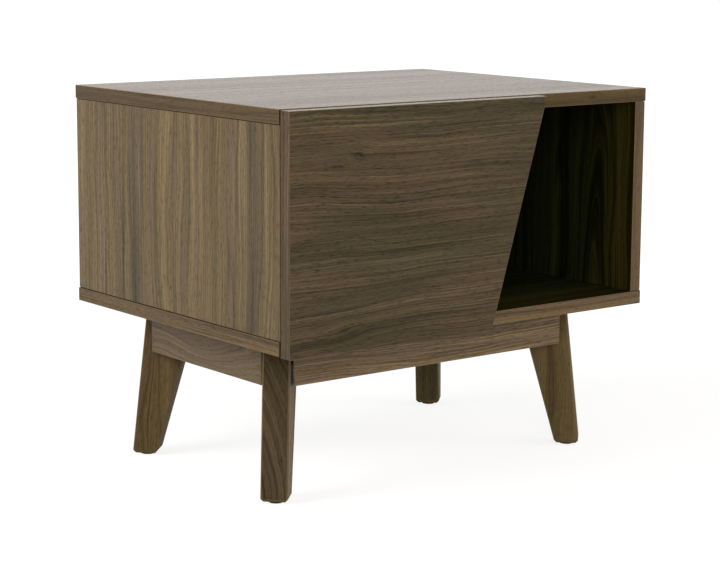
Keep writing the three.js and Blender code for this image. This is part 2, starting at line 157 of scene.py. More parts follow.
def noise(tree, place, stretch, detail=2.0, roughness=0.5):
    """Noise with its own number of features to the metre along each axis."""
    scaled = along_vectors(tree, "MULTIPLY", place, stretch)
    made = add(tree, "TexNoise", scaled)
    made.inputs["Scale"].default_value = 1.0
    made.inputs["Detail"].default_value = detail
    made.inputs["Roughness"].default_value = roughness
    return made.outputs[0]


print("node helpers are ready")

# %% [markdown]
# ## Node groups and materials
#
# What several materials share is built once as a node group, with named inputs, and is
# placed in each material with that material's own values. Each material starts from a
# Principled BSDF, and fine relief comes from a Bump node in front of its normal.

# %% Group and material helpers
FLOAT = "NodeSocketFloat"
VECTOR = "NodeSocketVector"
COLOUR = "NodeSocketColor"


def new_group(name, inputs, outputs):
    """A shader node group, and its two end nodes."""
    tree = bpy.data.node_groups.new(name, "ShaderNodeTree")
    for label, kind, value in inputs:
        socket = tree.interface.new_socket(label, in_out="INPUT", socket_type=kind)
        socket.default_value = value
    for label, kind in outputs:
        tree.interface.new_socket(label, in_out="OUTPUT", socket_type=kind)
    start = tree.nodes.new("NodeGroupInput").outputs
    end = tree.nodes.new("NodeGroupOutput").inputs
    return tree, start, end


def place_group(tree, group, **feeds):
    """Puts a node group in a material. Feeds are named after its inputs."""
    made = tree.nodes.new("ShaderNodeGroup")
    made.node_tree = group
    for label, feed in feeds.items():
        connect(tree, feed, made.inputs[label.replace("_", " ")])
    return made.outputs


def new_material(name):
    """A material, with its node tree and its Principled BSDF."""
    material = bpy.data.materials.new(name)
    material.use_nodes = True
    tree = material.node_tree
    return material, tree, tree.nodes["Principled BSDF"]


def add_relief(tree, shader, height, strength, distance):
    """Fine relief, from a height that changes over the surface."""
    bump = add(tree, "Bump")
    bump.inputs["Strength"].default_value = strength
    bump.inputs["Distance"].default_value = distance
    connect(tree, height, bump.inputs["Height"])
    connect(tree, bump.outputs[0], shader.inputs["Normal"])


print("group and material helpers are ready")

# %% [markdown]
# ## How veneer lies on a piece
#
# Veneer is a thin slice of wood, glued on the broad faces with its grain along the piece.
# The narrow edges are covered by strips called edge banding, and there the grain runs
# along the strip. The normal of a face says which of the two it is. This group turns the
# object's coordinates into three lengths for any face: along the grain, across it, and the
# depth of the face, which makes each face a different slice.

# %% Group: veneer on each face
FACE_LIMIT = 0.7
BAND_SLICE = 0.4
laid, start, end = new_group(
    "veneer_laid_on_faces",
    [
        ("Grain", VECTOR, (1, 0, 0)),
        ("End grain", VECTOR, (0, 1, 0)),
        ("Sheet", VECTOR, (0, 0, 1)),
        ("Slice", FLOAT, 0.0),
    ],
    [("Place", VECTOR), ("Band", FLOAT)],
)
where = laid.nodes.new("ShaderNodeTexCoord").outputs


def faces_along(tree, normal, direction):
    """1 on the faces whose normal lies along a direction, either way."""
    lean = calc(tree, "ABSOLUTE", along_vectors(tree, "DOT_PRODUCT", normal, direction))
    return calc(tree, "GREATER_THAN", lean, FACE_LIMIT)


is_end = faces_along(laid, where["Normal"], start["Grain"])
is_band = calc(laid, "SUBTRACT", 1.0, faces_along(laid, where["Normal"], start["Sheet"]))
along = mixed(laid, is_end, start["Grain"], start["End grain"], kind="VECTOR")
across = along_vectors(laid, "CROSS_PRODUCT", where["Normal"], along)
lengths = [
    along_vectors(laid, "DOT_PRODUCT", where["Object"], direction)
    for direction in (along, across, where["Normal"])
]
lengths[2] = calc(laid, "ADD", lengths[2], start["Slice"])
lengths[2] = calc(laid, "ADD", lengths[2], calc(laid, "MULTIPLY", is_band, BAND_SLICE))
connect(laid, add(laid, "CombineXYZ", *lengths).outputs[0], end["Place"])
connect(laid, is_band, end["Band"])
print("group:", laid.name)

# %% [markdown]
# ## The figure of walnut
#
# Walnut has broad light and dark bands, finer streaks in them, hair-thin dark veins, and
# short dark pores a few millimetres long. All of them are noise stretched along the
# grain, and only the scale differs. The lines of the real wood wander, so the coordinate
# across the grain is first pushed sideways by slow noise. Where the log was cut flat they
# also arch, which comes from the distance to a tapering core under the face.

# %% Group: walnut figure, how its lines run
figure, start, end = new_group(
    "walnut_figure",
    [
        ("Place", VECTOR, (0, 0, 0)),
        ("Wander", FLOAT, 0.01),
        ("Arch", FLOAT, 0.0),
        ("Core", VECTOR, (0, 0, 0)),
        ("Bands", FLOAT, 1.0),
        ("Streaks", FLOAT, 1.0),
        ("Fine lines", FLOAT, 1.0),
        ("Veins", FLOAT, 0.5),
        ("Light lines", FLOAT, 0.3),
        ("Veins to the metre", FLOAT, 60.0),
        ("Patch stretch", VECTOR, (0.8, 24, 5)),
    ],
    [("Tone", FLOAT), ("Patch", FLOAT), ("Pore", FLOAT)],
)


def swing(tree, value, gain):
    """A noise value, moved to lie around zero and multiplied."""
    return calc(tree, "MULTIPLY", calc(tree, "SUBTRACT", value, 0.5), gain)


def total(tree, *values):
    """The sum of any number of values."""
    result = values[0]
    for value in values[1:]:
        result = calc(tree, "ADD", result, value)
    return result


split = add(figure, "SeparateXYZ", start["Place"]).outputs
slow = noise(figure, start["Place"], (2.6, 6.0, 9.0), detail=1.0)
bend = noise(figure, start["Place"], (6.0, 15.0, 9.0), detail=1.0)
wave = noise(figure, start["Place"], (14.0, 34.0, 9.0), detail=1.0)
push = swing(figure, slow, start["Wander"])
sway = swing(figure, bend, calc(figure, "MULTIPLY", start["Wander"], 0.3))
ripple = swing(figure, wave, calc(figure, "MULTIPLY", start["Wander"], 0.1))
wandering = total(figure, split["Y"], push, sway, ripple)
centre = add(figure, "SeparateXYZ", start["Core"]).outputs
taper = calc(figure, "SUBTRACT", split["X"], centre["X"])
core = calc(figure, "MULTIPLY", taper, start["Arch"])
aside = calc(figure, "SUBTRACT", wandering, centre["Y"])
squares = [calc(figure, "POWER", side, 2.0) for side in (aside, core)]
arched = calc(figure, "SQRT", total(figure, *squares))
is_arched = calc(figure, "GREATER_THAN", start["Arch"], 0.0001)
chosen = mixed(figure, is_arched, wandering, arched, kind="FLOAT")
ringed = add(figure, "CombineXYZ", split["X"], chosen, split["Z"]).outputs[0]
straight = add(figure, "CombineXYZ", split["X"], wandering, split["Z"]).outputs[0]
print("group:", figure.name, "with its coordinates")

# %% [markdown]
# ## The lines themselves
#
# Four noises, from broad to fine, make the bands, streaks and lines, and each is measured
# in features to the metre. A vein is drawn where a noise crosses one level, because such
# places are thin, winding lines. The pores are short dashes. They don't follow the arches,
# because there the dashes would break up into specks.


# %% Group: walnut figure, its lines
def line_where(tree, value, level, width):
    """A thin line along the places where a noise value crosses a level."""
    gap = calc(tree, "ABSOLUTE", calc(tree, "SUBTRACT", value, level))
    return fade(tree, gap, 0.0, width, 1.0, 0.0)


broad = noise(figure, ringed, (0.5, 20.0, 11.0), detail=1.0)
narrow = noise(figure, ringed, (0.8, 70.0, 17.0), detail=1.0)
streaks = noise(figure, ringed, (1.6, 190.0, 23.0), detail=2.0, roughness=0.6)
fine = noise(figure, ringed, (3.5, 520.0, 41.0), detail=2.0, roughness=0.65)

# A vein keeps about one width however close the veins are, and it comes and goes.
pitch = start["Veins to the metre"]
veined = add(figure, "CombineXYZ", 1.1, pitch, 7.0).outputs[0]
veins = noise(figure, ringed, veined, detail=1.0)
half_vein = calc(figure, "MULTIPLY", pitch, 0.0007)
beside_veins = along_vectors(figure, "MULTIPLY", ringed, veined)
here = fade(figure, noise(figure, beside_veins, (3.0, 0.7, 2.0)), 0.42, 0.56)
dark_vein = calc(figure, "MULTIPLY", line_where(figure, veins, 0.5, half_vein), here)
light_vein = line_where(figure, veins, 0.57, calc(figure, "MULTIPLY", half_vein, 0.7))
tone = total(
    figure,
    0.5,
    calc(figure, "MULTIPLY", swing(figure, broad, 1.3), start["Bands"]),
    calc(figure, "MULTIPLY", swing(figure, narrow, 0.9), start["Bands"]),
    calc(figure, "MULTIPLY", swing(figure, streaks, 1.0), start["Streaks"]),
    calc(figure, "MULTIPLY", swing(figure, fine, 1.4), start["Fine lines"]),
    calc(figure, "MULTIPLY", dark_vein, start["Veins"]),
    calc(figure, "MULTIPLY", light_vein, start["Light lines"]),
)
patch = noise(figure, ringed, start["Patch stretch"], detail=2.0)
dashes = noise(figure, straight, (100.0, 900.0, 70.0), detail=1.0)
connect(figure, calc(figure, "ADD", tone, 0.0, clamp=True), end["Tone"])
connect(figure, fade(figure, patch, 0.42, 0.58), end["Patch"])
connect(figure, fade(figure, dashes, 0.54, 0.68), end["Pore"])
print("group:", figure.name, "with its lines")

# %% [markdown]
# ## Knots and dark bands
#
# Where a branch grew, the lines part and close again round a small dark eye. The group
# squeezes the coordinate across the grain near the eye, so the lines bend round it, and
# shades the eye. A heart band is a dark stripe, broad or thin, which follows the grain.

# %% Group: knot
knot, start, end = new_group(
    "knot",
    [
        ("Place", VECTOR, (0, 0, 0)),
        ("Centre", VECTOR, (0, 0, 0)),
        ("Size", VECTOR, (0.03, 0.015, 1)),
        ("Squeeze", FLOAT, 0.8),
        ("Eye", FLOAT, 0.3),
    ],
    [("Place", VECTOR), ("Shade", FLOAT)],
)
offset = along_vectors(knot, "SUBTRACT", start["Place"], start["Centre"])
flat = along_vectors(knot, "MULTIPLY", offset, (1, 1, 0))
reach = along_vectors(knot, "DIVIDE", flat, start["Size"])
squared = along_vectors(knot, "DOT_PRODUCT", reach, reach)
near = calc(knot, "EXPONENT", calc(knot, "MULTIPLY", squared, -1.0))
eye = calc(knot, "EXPONENT", calc(knot, "MULTIPLY", squared, -22.0))
halo = calc(knot, "EXPONENT", calc(knot, "MULTIPLY", squared, -3.0))
sideways = along_vectors(knot, "MULTIPLY", flat, (0, -1, 0))
pull = add(knot, "VectorMath", sideways, operation="SCALE")
connect(knot, calc(knot, "MULTIPLY", near, start["Squeeze"]), pull.inputs["Scale"])
connect(knot, along_vectors(knot, "ADD", start["Place"], pull.outputs[0]), end["Place"])
shade = total(knot, eye, calc(knot, "MULTIPLY", halo, 0.35))
connect(knot, calc(knot, "MULTIPLY", shade, start["Eye"]), end["Shade"])
print("group:", knot.name)

# %% Group: heart band
heart, start, end = new_group(
    "heart_band",
    [
        ("Place", VECTOR, (0, 0, 0)),
        ("Across", FLOAT, 0.0),
        ("Width", FLOAT, 0.01),
        ("Strength", FLOAT, 0.3),
    ],
    [("Shade", FLOAT)],
)
split = add(heart, "SeparateXYZ", start["Place"]).outputs
wander = noise(heart, start["Place"], (5.0, 9.0, 3.0), detail=1.0)
ragged = noise(heart, start["Place"], (5.0, 330.0, 3.0), detail=2.0)
bent = total(heart, split["Y"], swing(heart, wander, 0.022))
gap = calc(heart, "SUBTRACT", bent, start["Across"])
reach = calc(heart, "DIVIDE", gap, start["Width"])
near = calc(heart, "EXPONENT", calc(heart, "MULTIPLY", calc(heart, "POWER", reach, 2.0), -1.0))
torn = calc(heart, "MULTIPLY", near, total(heart, 1.0, swing(heart, ragged, 2.6)))
connect(heart, calc(heart, "MULTIPLY", torn, start["Strength"], clamp=True), end["Shade"])
print("group:", heart.name)

# %% [markdown]
# ## The colours of walnut
#
# A maker stains and seals walnut, but the figure still shows: the same sheet runs from a
# greyish dark brown to a warm light one. This group turns the figure into a colour with
# three stops, greys some patches, and darkens the pores. It also gives the height that a
# Bump node needs, because pores are tiny grooves, and the roughness, because the lacquer
# sinks into them.

# %% Group: walnut colour
GREY_TINT = (1.18, 0.985, 0.6)
stained, start, end = new_group(
    "walnut_colour",
    [
        ("Tone", FLOAT, 0.5),
        ("Patch", FLOAT, 0.5),
        ("Pore", FLOAT, 0.0),
        ("Shade", FLOAT, 0.0),
        ("Dark", COLOUR, (0.1, 0.08, 0.05, 1)),
        ("Body", COLOUR, (0.2, 0.15, 0.1, 1)),
        ("Light", COLOUR, (0.3, 0.25, 0.15, 1)),
        ("Patch colour", COLOUR, (0.8, 0.8, 1.0, 1)),
        ("Pore depth", FLOAT, 0.4),
        ("Gloss roughness", FLOAT, 0.4),
    ],
    [("Colour", COLOUR), ("Roughness", FLOAT), ("Height", FLOAT)],
)
lower = mixed(stained, fade(stained, start["Tone"], 0.0, 0.5), start["Dark"], start["Body"])
upper = mixed(stained, fade(stained, start["Tone"], 0.5, 1.0), lower, start["Light"])


def greyed(tree, colour, share, level=1.0):
    """A colour drawn towards a greenish grey of its own brightness, times a level."""
    bright = add(tree, "RGBToBW", colour).outputs[0]
    tint = tuple(v * level for v in GREY_TINT) + (1,)
    return mixed(tree, share, colour, mixed(tree, 1.0, bright, tint, blend="MULTIPLY"))


patched = mixed(stained, 1.0, upper, start["Patch colour"], blend="MULTIPLY")
patchy = mixed(stained, start["Patch"], upper, patched)
shaded = greyed(stained, patchy, start["Shade"], 0.45)
pore_share = calc(stained, "MULTIPLY", start["Pore"], start["Pore depth"])
pored = mixed(stained, pore_share, shaded, mixed(stained, 0.75, shaded, (0, 0, 0, 1)))
connect(stained, pored, end["Colour"])
rougher = calc(stained, "MULTIPLY", start["Pore"], 0.12)
waving = calc(stained, "MULTIPLY", calc(stained, "SUBTRACT", 0.5, start["Tone"]), 0.08)
connect(stained, total(stained, start["Gloss roughness"], rougher, waving), end["Roughness"])
grooves = calc(stained, "SUBTRACT", calc(stained, "MULTIPLY", start["Tone"], 0.35), start["Pore"])
connect(stained, grooves, end["Height"])
print("group:", stained.name)

# %% [markdown]
# ## Worn arrises, with a painted highlight
#
# A sharp edge can't hold stain: it is sanded round, and hands and cloths rub it, so it
# shows as a thin lighter line. Here the lighter line is partly that wear and partly a
# painted highlight, the light that an eased edge catches. The CAD edges are eased, and an
# eased edge is where the normal points between the axes of the piece. The group measures
# that, after turning the normal for the legs, which stand at 45 degrees to the case.

# %% Group: arris mask
arris, start, end = new_group(
    "arris_wear_and_highlight", [("Turn", FLOAT, 0.0)], [("Mask", FLOAT)]
)
normal = arris.nodes.new("ShaderNodeTexCoord").outputs["Normal"]
turned = add(arris, "VectorRotate", normal, rotation_type="Z_AXIS")
connect(arris, start["Turn"], turned.inputs["Angle"])
size = add(arris, "SeparateXYZ", along_vectors(arris, "ABSOLUTE", turned.outputs[0])).outputs
largest = calc(arris, "MAXIMUM", calc(arris, "MAXIMUM", size["X"], size["Y"]), size["Z"])
connect(arris, fade(arris, largest, 0.93, 0.95, 1.0, 0.0), end["Mask"])
print("group:", arris.name)

# %% [markdown]
# ## Painted shade in seams
#
# The drawer front stands 2.5 mm off the case, and the aprons stop 2.2 mm short of the
# legs. A strip of wood in such a gap, or a hairline under the top board at a joint, is
# painted nearly black as the shade that falls there, so it reads as a crisp dark line. The
# group marks the faces that look one way inside a box, and that takes in the eased edge
# beside them.

# %% Group: seam mask for painted shade
seam, start, end = new_group(
    "seam_shade_mask",
    [
        ("Facing", VECTOR, (0, -1, 0)),
        ("Low", VECTOR, (-1, -1, -1)),
        ("High", VECTOR, (1, 1, 1)),
    ],
    [("Mask", FLOAT)],
)
where = seam.nodes.new("ShaderNodeTexCoord").outputs
turned_so = along_vectors(seam, "DOT_PRODUCT", where["Normal"], start["Facing"])
inside_box = 1.0
for nearer, farther in ((start["Low"], where["Object"]), (where["Object"], start["High"])):
    gaps = add(seam, "SeparateXYZ", along_vectors(seam, "SUBTRACT", farther, nearer)).outputs
    for gap in gaps:
        inside_box = calc(seam, "MULTIPLY", inside_box, calc(seam, "GREATER_THAN", gap, 0.0))
mask = calc(seam, "MULTIPLY", fade(seam, turned_so, 0.2, 0.5), inside_box)
connect(seam, mask, end["Mask"])
print("group:", seam.name)

# %% [markdown]
# ## Knots, painted shade, painted sheen and wax on one piece
#
# These helpers add what only some pieces have. A knot is given by its centre, its size,
# how hard it squeezes the lines, and how dark its eye is. A heart band is given by its
# place across the grain, its width and its strength, and a painted seam shade by the way
# it faces and two corners of its box. The inside of the case is darkened with painted
# shade, deeper towards the back, so that the cubby reads as a deep shadow. A waxed top
# edge has a glossy coat, and its colour is lightened as a painted sheen, so it shows as
# a thin light line.

# %% Walnut: marks, painted shade, painted sheen and wax
# Painted shade for the cubby: the colour at its mouth, the colour deep inside, and the depths
# between which one turns into the other.
MOUTH_PAINTED_SHADE = (0.24, 0.285, 0.10, 1)
DEEP_PAINTED_SHADE = (0.085, 0.155, 0.085, 1)
PAINTED_SHADE_DEPTHS = (-0.23, -0.11)
# Painted shade, nearly black, for strips in gaps and under overhangs.
SEAM_PAINTED_SHADE = (0.022, 0.015, 0.005, 1)
# A painted sheen: a lighter colour on the faces that look up.
PAINTED_SHEEN_TINT = (1.9, 1.75, 1.35, 1)
WAX_ROUGHNESS = 0.24


def with_marks(tree, place, knots, hearts):
    """The place, bent round each knot, and the shade of all knots and heart bands."""
    shades = [0.0]
    for centre, size, squeeze, eye in knots:
        swirl = place_group(
            tree, knot, Place=place, Centre=centre, Size=size, Squeeze=squeeze, Eye=eye
        )
        place = swirl["Place"]
        shades.append(swirl["Shade"])
    for across, width, strength in hearts:
        stripe = place_group(
            tree, heart, Place=place, Across=across, Width=width, Strength=strength
        )
        shades.append(stripe["Shade"])
    return place, total(tree, *shades)


def with_painted_inside_shade(tree, colour, tone, painted_shade_faces):
    """The colour, darkened with painted shade on the faces that look in the given directions,
    more towards the back.
    """
    where = tree.nodes.new("ShaderNodeTexCoord").outputs
    depth = fade(tree, add(tree, "SeparateXYZ", where["Object"]).outputs["Y"], *PAINTED_SHADE_DEPTHS)
    painted_shade = mixed(tree, depth, MOUTH_PAINTED_SHADE, DEEP_PAINTED_SHADE)
    blotch = fade(tree, tone, 0.25, 0.75, 0.45, 1.7)
    for direction in painted_shade_faces:
        facing = along_vectors(tree, "DOT_PRODUCT", where["Normal"], direction)
        even = mixed(tree, 1.0, colour, painted_shade, "MULTIPLY")
        deep = mixed(tree, 1.0, even, blotch, "MULTIPLY")
        colour = mixed(tree, fade(tree, facing, 0.5, 0.9), colour, deep)
    return colour


def with_seam_shade(tree, colour, seam_shades):
    """The colour, painted nearly black as shade in each seam."""
    for facing, low, high in seam_shades:
        strip = place_group(tree, seam, Facing=facing, Low=low, High=high)["Mask"]
        colour = mixed(tree, strip, colour, SEAM_PAINTED_SHADE)
    return colour


def with_wax_and_painted_sheen(tree, colour, shader, weight):
    """The colour, lightened as a painted sheen on the faces that look up, which also get a coat
    of wax.
    """
    normal = tree.nodes.new("ShaderNodeTexCoord").outputs["Normal"]
    rise = add(tree, "SeparateXYZ", normal).outputs["Z"]
    painted_sheen = mixed(tree, 1.0, colour, PAINTED_SHEEN_TINT, "MULTIPLY")
    connect(tree, fade(tree, rise, 0.5, 0.8, 0.0, weight), shader.inputs["Coat Weight"])
    shader.inputs["Coat Roughness"].default_value = WAX_ROUGHNESS
    return mixed(tree, fade(tree, rise, 0.5, 0.8), colour, painted_sheen)


print("seam stain:", SEAM_PAINTED_SHADE[:3])

# %% [markdown]
# ## Making a walnut material
#
# One function puts the groups together for a piece. It is told how the grain runs, which
# slice of the log the piece is, and which faces look inwards and get painted shade. The
# shader is a Principled BSDF with a satin lacquer. Its specular level is low, because
# open-pored veneer has no thick film, yet at a grazing angle it still mirrors the room.

# %% Walnut material
TONES = {
    "case": [(0.095, 0.070, 0.037), (0.158, 0.113, 0.060), (0.235, 0.172, 0.096)],
    "front": [(0.040, 0.030, 0.016), (0.079, 0.0565, 0.030), (0.140, 0.103, 0.056)],
    "leg": [(0.042, 0.028, 0.012), (0.080, 0.052, 0.022), (0.130, 0.086, 0.040)],
    "base": [(0.080, 0.060, 0.036), (0.135, 0.100, 0.060), (0.200, 0.148, 0.090)],
}
AXES = {"x": (1, 0, 0), "y": (0, 1, 0), "z": (0, 0, 1)}
# Eased edges are lightened: partly wear, partly a painted highlight.
ARRIS_WEAR_AND_HIGHLIGHT = 0.45
PORE_RELIEF = 0.0003


def walnut(
    name,
    tones,
    grain,
    end_grain,
    sheet,
    slice_at,
    painted_shade_faces=(),
    turn=0.0,
    wander=0.012,
    arch=0.0,
    core=(0, 0, 0),
    bands=1.0,
    streaks=1.0,
    fine=1.0,
    veins=-0.35,
    light_lines=0.1,
    pitch=45.0,
    patch_stretch=(0.7, 65, 5),
    patch_colour=(0.88, 0.87, 1.03),
    pore_depth=0.5,
    tint=(1, 1, 1),
    band_tint=(1, 1, 1),
    roughness=0.42,
    specular=0.1,
    bump_strength=0.5,
    wax_and_painted_sheen=0.0,
    knots=(),
    hearts=(),
    seam_shades=(),
):
    """A walnut material for one piece, put together from the groups above."""
    material, tree, shader = new_material(name)
    face = place_group(
        tree,
        laid,
        Grain=AXES[grain],
        End_grain=AXES[end_grain],
        Sheet=AXES[sheet],
        Slice=slice_at,
    )
    place, shade = with_marks(tree, face["Place"], knots, hearts)
    wood = place_group(
        tree,
        figure,
        Place=place,
        Wander=wander,
        Arch=arch,
        Core=core,
        Bands=bands,
        Streaks=streaks,
        Fine_lines=fine,
        Veins=veins,
        Light_lines=light_lines,
        Veins_to_the_metre=pitch,
        Patch_stretch=patch_stretch,
    )
    dark, body, light = [
        tuple(v * t for v, t in zip(tone, tint)) + (1,) for tone in TONES[tones]
    ]
    look = place_group(
        tree,
        stained,
        Tone=wood["Tone"],
        Patch=wood["Patch"],
        Pore=wood["Pore"],
        Shade=shade,
        Dark=dark,
        Body=body,
        Light=light,
        Patch_colour=patch_colour + (1,),
        Pore_depth=pore_depth,
        Gloss_roughness=roughness,
    )
    banding = mixed(tree, 1.0, look["Colour"], band_tint + (1,), "MULTIPLY")
    colour = mixed(tree, face["Band"], look["Colour"], banding)
    # The eased edges are lighter, partly from wear and partly as a painted highlight.
    edge = place_group(tree, arris, Turn=math.radians(turn))
    wear_and_highlight = calc(tree, "MULTIPLY", edge["Mask"], ARRIS_WEAR_AND_HIGHLIGHT)
    colour = mixed(tree, wear_and_highlight, colour, light)
    colour = with_painted_inside_shade(tree, colour, wood["Tone"], painted_shade_faces)
    colour = with_seam_shade(tree, colour, seam_shades)
    if wax_and_painted_sheen:
        colour = with_wax_and_painted_sheen(tree, colour, shader, wax_and_painted_sheen)
    connect(tree, colour, shader.inputs["Base Color"])
    connect(tree, look["Roughness"], shader.inputs["Roughness"])
    shader.inputs["Specular IOR Level"].default_value = specular
    add_relief(tree, shader, look["Height"], bump_strength, PORE_RELIEF)
    return material


def finish_node(name, material):
    """Gives a CAD node its material, through the slots it already has."""
    for slot in nodes[name].material_slots:
        slot.material = material


print("walnut tones:", ", ".join(TONES))

# %% [markdown]
# ## The case
#
# The top and bottom boards run across the whole case with their grain from side to side,
# and their edges are banded. The side panels, the divider and the back have upright grain.
# Each is its own sheet, so each gets its own slice of the pattern. The left arris of the
# case, behind the drawer front, is painted dark as the shade in the gap there, and a
# hairline of each side panel where it meets the top board is painted dark as the shadow
# under the board.

# %% Painted shade lines of the case
# The widths of the painted shade strips: at the left arris in the gap behind the drawer front,
# and on the side panels under the top board.
ARRIS_SHADE_STRIP = 0.0025
JOINT_SHADOW_LINE = 0.0012
case_left = cad_box[0][0]
left_arris_shade = ((0, -1, 0), (-1, -1, 0), (case_left + ARRIS_SHADE_STRIP, 0, 1))
board_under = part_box("top_board")[0].z
joint_shadow_start = (-1, -1, board_under - JOINT_SHADOW_LINE)
left_joint_shadow = ((-1, 0, 0), joint_shadow_start, (1, 1, 1))
right_joint_shadow = ((1, 0, 0), joint_shadow_start, (1, 1, 1))
print("the top board's underside is", round(board_under, 4), "m up")

# %% Case
board = dict(grain="x", end_grain="y", sheet="z")
panel = dict(grain="z", end_grain="y", sheet="x")
# The faces that look into the case are darkened with painted shade.
case_pieces = {
    "top_board": dict(
        painted_shade_faces=[(0, 0, -1)],
        tint=(0.90, 0.755, 0.60),
        band_tint=(0.655, 0.69, 0.57),
        fine=0.7,
        streaks=0.7,
        seam_shades=[left_arris_shade],
        knots=[((0.205, 0.4940, 0), (0.022, 0.009, 1), 0.9, 0.8)],
        hearts=[(0.4995, 0.0012, 0.3), (0.4905, 0.0008, 0.3)],
        roughness=0.24,
        specular=0.12,
        bump_strength=0.03,
        **board,
    ),
    "bottom_board": dict(
        painted_shade_faces=[(0, 0, 1)],
        tint=(0.71, 0.67, 0.60),
        seam_shades=[left_arris_shade],
        **board,
    ),
    "side_panel_left": dict(
        painted_shade_faces=[(1, 0, 0)],
        wander=0.05,
        bands=0.6,
        streaks=0.75,
        fine=1.5,
        veins=-0.3,
        light_lines=0.03,
        pore_depth=0.52,
        tint=(0.79, 0.785, 0.70),
        seam_shades=[left_arris_shade, left_joint_shadow],
        hearts=[
            (0.101, 0.010, 0.7),
            (0.129, 0.0035, 0.5),
            (0.178, 0.004, 0.4),
            (-0.089, 0.004, 0.35),
            (-0.131, 0.004, 0.45),
            (-0.166, 0.014, 0.5),
        ],
        **panel,
    ),
    "side_panel_right": dict(
        painted_shade_faces=[(-1, 0, 0)],
        tint=(0.86, 0.82, 0.76),
        wander=0.05,
        arch=0.07,
        core=(0.10, -0.155, 0),
        bands=0.8,
        streaks=0.6,
        fine=0.7,
        seam_shades=[right_joint_shadow],
        **panel,
    ),
    "divider": dict(painted_shade_faces=[(1, 0, 0), (-1, 0, 0)], **panel),
    "back_panel": dict(painted_shade_faces=[(0, -1, 0)], grain="z", end_grain="x", sheet="y"),
}
SHEET_STEP = 0.9
for number, (name, choices) in enumerate(case_pieces.items()):
    finish_node(name, walnut(name, "case", slice_at=SHEET_STEP * number, **choices))
print("case pieces:", len(case_pieces))

# %% [markdown]
# ## The drawer front
#
# The front is a darker sheet than the case, laid with its grain sideways. It comes from
# near the heart of the log: the lines wander and part round small knots, greenish grey
# patches alternate with warm brown ones, and the pores show as fine dark dashes. Its top
# edge, which lies just below the table top, is waxed, and its colour there is lightened
# as a painted sheen.

# %% Drawer front
upper_left_knot = ((-0.238, 0.432, 0), (0.024, 0.010, 1), 0.6, 0.6)
upper_right_knot = ((-0.200, 0.445, 0), (0.020, 0.013, 1), 0.7, 0.5)
lower_knot = ((-0.224, 0.232, 0), (0.030, 0.014, 1), 0.7, 0.5)
front_finish = walnut(
    "drawer_front",
    "front",
    grain="x",
    end_grain="z",
    sheet="y",
    slice_at=3.1,
    wander=0.035,
    bands=0.32,
    streaks=0.38,
    fine=1.3,
    patch_stretch=(4, 24, 5),
    patch_colour=(0.76, 0.83, 0.79),
    pore_depth=0.6,
    tint=(1.0, 0.97, 1.0),
    band_tint=(0.94, 0.875, 0.89),
    veins=-0.26,
    pitch=180.0,
    light_lines=0.12,
    # The top edge gets a coat of wax and a painted sheen, a lighter colour.
    wax_and_painted_sheen=0.7,
    knots=[upper_left_knot, upper_right_knot, lower_knot],
)
finish_node("drawer_front", front_finish)
print("finished:", front_finish.name)

# %% [markdown]
# ## The base
#
# The aprons are veneered like the case. The front apron's colour is lightened, a painted
# light that makes up for the shade under the overhanging case. The legs are solid walnut
# planks with upright grain, browner and more blotchy than veneer, and they stand turned at
# 45 degrees. Each leg has tints of its own, set leg by leg, for its broad faces and for its
# narrow edges. The lines of the front left one slant, as in a plank that was cut past a bend
# of the log. The ends of the front apron are painted nearly black as shade, and so is the
# face of the front left leg behind its left end, so that the slit between them is a dark
# line.

# %% Aprons
EVERYWHERE = ((-1, -1, -1), (1, 1, 1))
APRON_WOOD = dict(arch=0.08, wander=0.05)
FIRST_APRON_SLICE = 5
APRON_STEP = 0.7
apron_choices = {
    "front": dict(
        # The ends of the front apron are painted nearly black as the shade in the slits by the
        # legs.
        seam_shades=[((-1, 0, 0), *EVERYWHERE), ((1, 0, 0), *EVERYWHERE)],
        # This lighter tint is painted light, making up for the shade under the overhanging case.
        tint=(1.57, 1.52, 1.38),
        wander=0.03,
        bands=0.5,
        streaks=0.6,
        fine=2.2,
        veins=-0.4,
        pitch=220.0,
    ),
    "right": dict(),
    "back": dict(),
    "left": dict(
        tint=(0.85, 0.83, 0.81),
        arch=0.14,
        core=(0.06, -0.19, 0),
        wander=0.07,
        bands=0.26,
        streaks=0.35,
        fine=1.2,
        veins=-0.25,
        pitch=90.0,
        pore_depth=0.4,
    ),
}
for number, (side, choices) in enumerate(apron_choices.items()):
    name = "apron_" + side
    grain, sheet = ("x", "y") if side in ("front", "back") else ("y", "x")
    choices = APRON_WOOD | choices
    made = walnut(
        name,
        "base",
        grain=grain,
        end_grain="z",
        sheet=sheet,
        slice_at=FIRST_APRON_SLICE + APRON_STEP * number,
        **choices,
    )
    finish_node(name, made)
print("aprons:", len(apron_choices))

# %% Legs
DIAGONAL = math.sqrt(0.5)
AXES["rising"] = (DIAGONAL, DIAGONAL, 0)
AXES["falling"] = (DIAGONAL, -DIAGONAL, 0)
LEG_WOOD = dict(wander=0.07, bands=0.8, streaks=0.6, fine=0.7, pore_depth=0.4)
FIRST_LEG_SLICE = 9
LEG_STEP = 0.8


def middle_across(name):
    """How far the middle of a leg lies along the diagonal that its narrow face follows."""
    low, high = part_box(name)
    middle = (low + high) / 2
    return (middle.y - middle.x) / math.sqrt(2)


across = middle_across("leg_front_left")
apron_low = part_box("apron_front")[0]
